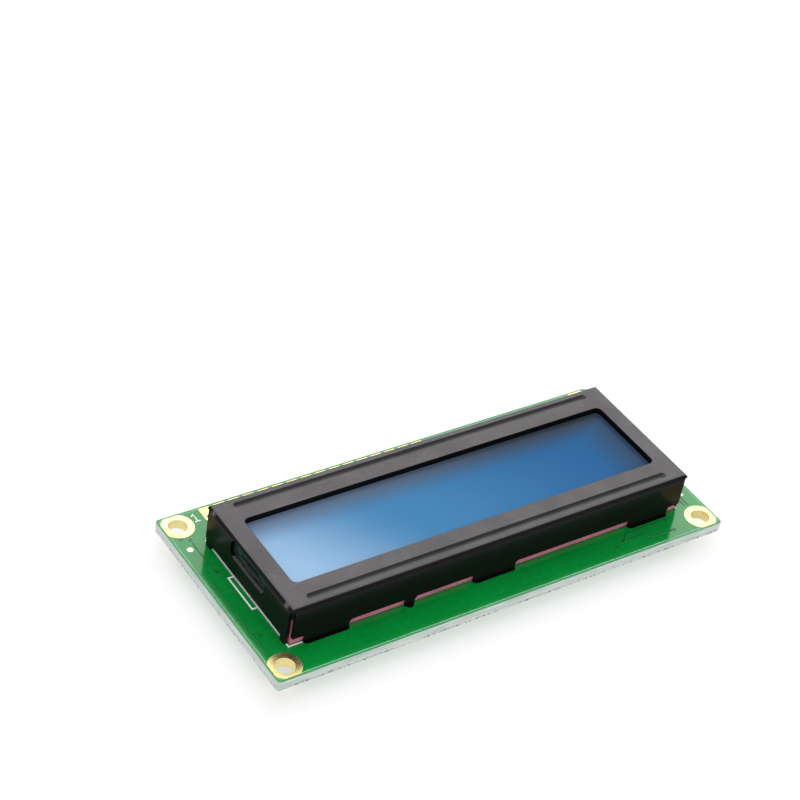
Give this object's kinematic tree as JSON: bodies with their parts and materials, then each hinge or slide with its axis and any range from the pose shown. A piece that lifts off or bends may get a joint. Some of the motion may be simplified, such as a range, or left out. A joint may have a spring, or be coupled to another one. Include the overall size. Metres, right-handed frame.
{
  "type": "character lcd module",
  "caption": "Flat character display module: blue screen in a black folded metal bezel, held by twisted tabs on a green circuit board with a row of header holes and corner mounting holes.",
  "frame": {"origin": "middle of the four mounting holes, on the back face of the circuit board", "axes": "+X along the board from header pin 1 to the last pin, +Y towards the header edge, +Z out of the display"},
  "size_m": [0.08, 0.036, 0.0112],
  "materials": {
    "board": "green solder mask over glass-fibre laminate, glossy",
    "gold": "gold plated copper, bright",
    "solder": "solder, bright and slightly wavy",
    "silicon": "bare silicon, hidden in the epoxy",
    "epoxy": "black epoxy, satin with a faint grain",
    "black_steel": "black coated sheet steel, satin",
    "display": "blue display under a polariser film, semi-gloss",
    "dark_film": "grey polariser film",
    "cell_glass": "clear sheet glass with a green edge",
    "cell_glue": "grey glue line",
    "port_glue": "grey translucent glue drop",
    "pink_rubber": "pink silicone rubber, matt",
    "white_plastic": "white moulded plastic",
    "white_film": "white film",
    "clear_acrylic": "clear acrylic plate",
    "lamp_board": "pale lamp board laminate",
    "lamp_package": "white lamp package with a yellow window",
    "white_ink": "white print",
    "chip": "black glazed ceramic between tinned end caps"
  },
  "bodies": {
    "root": {"back_print": "white_ink", "backlight_housing": "white_plastic", "backlight_plating": "gold", "bezel": "black_steel", "cell_seal": "cell_glue", "component_pads": "gold", "controller_die": "silicon", "controller_drop": "epoxy", "diffuser_film": "white_film", "driver_die": "silicon", "driver_drop": "epoxy", "front_glass": "cell_glass", "front_polariser": "display", "front_print": "white_ink", "ground_lands": "gold", "header_plating": "gold", "jumper_pads": "gold", "jumper_solder": "solder", "lamp_board": "lamp_board", "lamps": "lamp_package", "light_guide": "clear_acrylic", "mounting_hole_plating": "gold", "notch_solder": "solder", "pcb": "board", "port_seal": "port_glue", "rear_glass": "cell_glass", "rear_polariser": "dark_film", "reflector_film": "white_film", "resistor_pads": "solder", "resistor_r1": "chip", "resistor_r2": "chip", "resistor_r3": "chip", "resistor_r4": "chip", "resistor_r5": "chip", "resistor_r6": "chip", "resistor_r7": "chip", "resistor_r8": "chip", "resistor_solder": "solder", "zebra_strip_far": "pink_rubber", "zebra_strip_near": "pink_rubber"}
  },
  "joints": []
}
